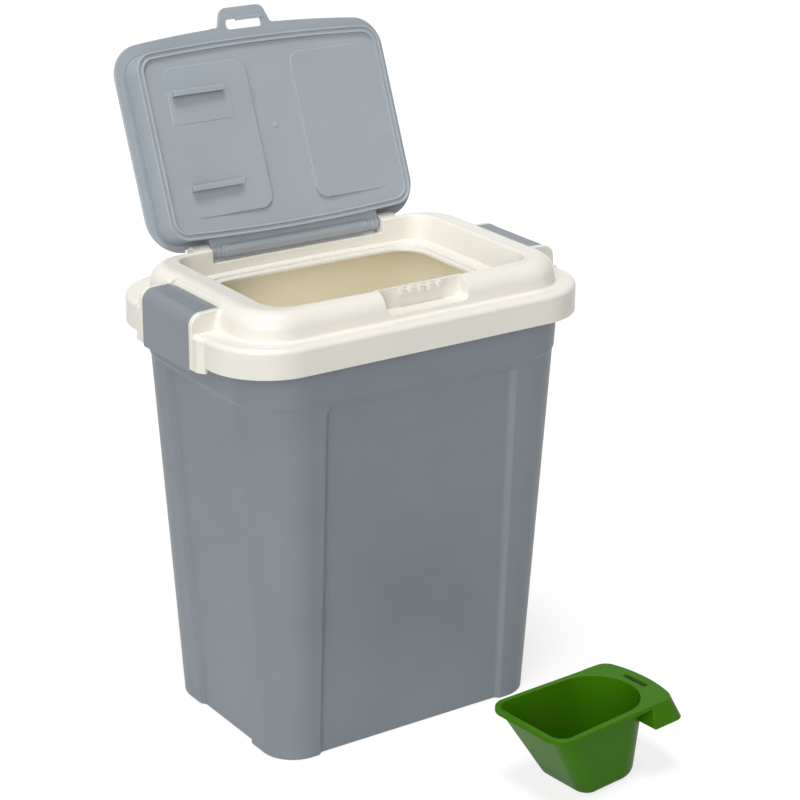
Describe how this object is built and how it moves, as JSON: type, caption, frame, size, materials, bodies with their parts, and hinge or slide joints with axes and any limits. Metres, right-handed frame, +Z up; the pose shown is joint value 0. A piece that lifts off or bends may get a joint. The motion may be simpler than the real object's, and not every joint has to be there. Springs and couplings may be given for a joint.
{
  "type": "pet food storage bin",
  "caption": "Tapered plastic bin with a cream collar, a removable liner, a hinged plug lid held by a front catch, side clamps and a loose green scoop.",
  "frame": {"origin": "centre of the flat underside of the bin", "axes": "+Z up; -Y the catch side; +Y the hinge side; the clamps at -X and +X"},
  "size_m": [0.414, 0.5413, 0.6722],
  "materials": {
    "body_plastic": "satin moulded, slate grey",
    "liner_plastic": "satin moulded, pale tan",
    "collar_plastic": "semi-gloss moulded, cream",
    "lid_plastic": "satin moulded, slate grey",
    "seal_rubber": "soft grey",
    "pin_plastic": "smooth grey",
    "clamp_plastic": "satin moulded, slate grey",
    "scoop_plastic": "semi-gloss moulded, leaf green"
  },
  "bodies": {
    "bin": {"bin_body": "body_plastic", "inner_liner": "liner_plastic", "collar": "collar_plastic", "hinge_pin_left": "pin_plastic", "hinge_pin_right": "pin_plastic"},
    "lid": {"lid": "lid_plastic", "lid_seal": "seal_rubber"},
    "clamp_left": {"clamp_left": "clamp_plastic"},
    "clamp_right": {"clamp_right": "clamp_plastic"},
    "scoop": {"scoop": "scoop_plastic"}
  },
  "joints": [
    {"name": "lid_hinge", "type": "hinge", "parent": "bin", "child": "lid", "pos_m": [0, 0.107, 0.455], "axis": [1, 0, 0], "range_deg": [0, 112.4]},
    {"name": "clamp_left_pivot", "type": "hinge", "parent": "bin", "child": "clamp_left", "pos_m": [-0.1795, 0, 0.4478], "axis": [0, 1, 0], "range_deg": [0, 90]},
    {"name": "clamp_right_pivot", "type": "hinge", "parent": "bin", "child": "clamp_right", "pos_m": [0.1795, 0, 0.4478], "axis": [0, -1, 0], "range_deg": [0, 90]},
    {"name": "scoop_lift", "type": "slide", "parent": "bin", "child": "scoop", "axis": [0, 0, 1], "range_m": [0, 0.2]}
  ]
}
